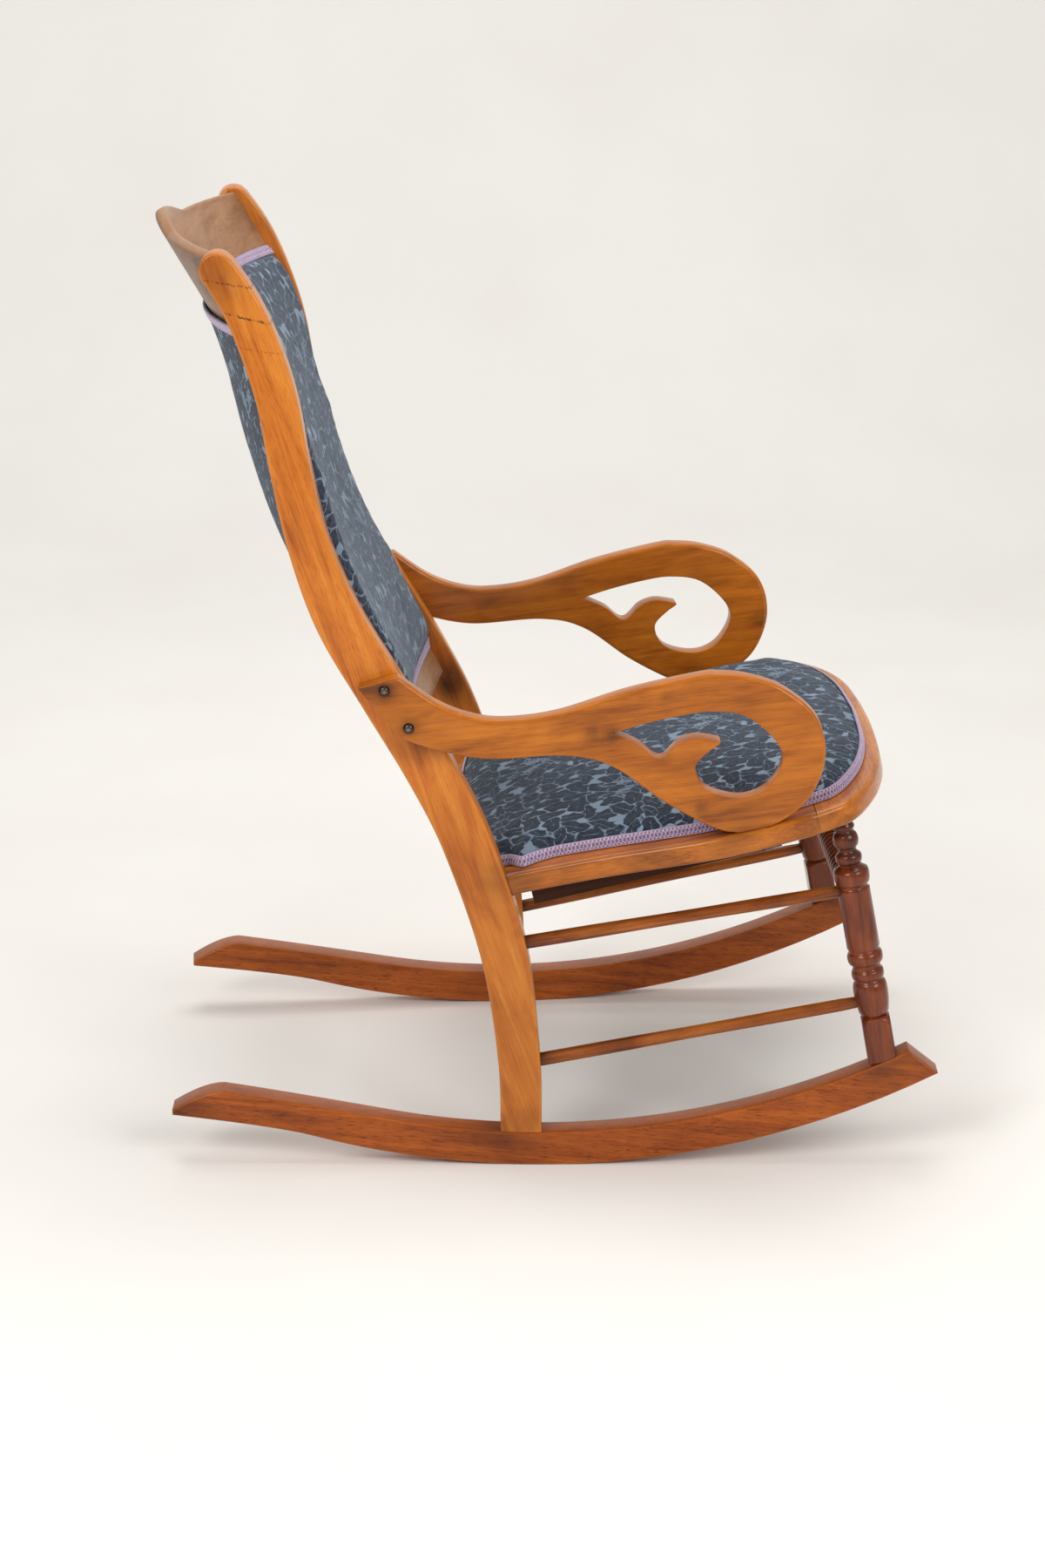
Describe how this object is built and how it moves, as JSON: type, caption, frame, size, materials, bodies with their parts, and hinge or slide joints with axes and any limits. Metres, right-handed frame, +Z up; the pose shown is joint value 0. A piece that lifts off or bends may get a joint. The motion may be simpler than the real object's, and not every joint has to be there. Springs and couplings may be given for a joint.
{
  "type": "upholstered rocking chair",
  "caption": "Open-arm rocking chair on curved rockers, with sawn scroll arms, turned front legs and stretchers, a stuffed seat and a bowed upholstered back.",
  "frame": {"origin": "on the floor, under the middle of the chair's bounding box", "axes": "+Z up, -Y the way the chair faces, +X towards the sitter's left hand"},
  "size_m": [0.5886, 0.8324, 0.9835],
  "materials": {
    "honey_wood": "worn amber varnish, satin to gloss",
    "dark_wood": "dark red-brown stain under gloss varnish",
    "damask": "slate-blue woven damask with grey-blue foliage",
    "gimp": "lilac-grey braided gimp",
    "jute_webbing": "plain woven jute",
    "hessian": "loose-woven hessian",
    "dust_cloth": "black cotton lining",
    "blacked_steel": "near-black domed heads, worn"
  },
  "bodies": {
    "root": {"arm_foot_screw_left": "blacked_steel", "arm_foot_screw_right": "blacked_steel", "arm_left": "honey_wood", "arm_right": "honey_wood", "arm_screw_lower_left": "blacked_steel", "arm_screw_lower_right": "blacked_steel", "arm_screw_upper_left": "blacked_steel", "arm_screw_upper_right": "blacked_steel", "back_gimp_front": "gimp", "back_gimp_rear": "gimp", "back_hessian": "hessian", "back_pad": "damask", "back_post_left": "honey_wood", "back_post_right": "honey_wood", "back_webbing": "jute_webbing", "crest_rail": "honey_wood", "front_leg_left": "dark_wood", "front_leg_right": "dark_wood", "front_stretcher": "dark_wood", "lower_back_rail": "honey_wood", "lower_side_stretcher_left": "dark_wood", "lower_side_stretcher_right": "dark_wood", "outside_back": "damask", "post_dowel_left": "honey_wood", "post_dowel_right": "honey_wood", "rear_stretcher": "dark_wood", "rocker_left": "honey_wood", "rocker_right": "honey_wood", "seat_back_rail": "honey_wood", "seat_dust_cover": "dust_cloth", "seat_front_rail": "honey_wood", "seat_gimp": "gimp", "seat_hessian": "hessian", "seat_pad": "damask", "seat_side_bearer_left": "dark_wood", "seat_side_bearer_right": "dark_wood", "seat_side_rail_left": "honey_wood", "seat_side_rail_right": "honey_wood", "seat_webbing": "jute_webbing", "upper_side_stretcher_left": "dark_wood", "upper_side_stretcher_right": "dark_wood"}
  },
  "joints": []
}
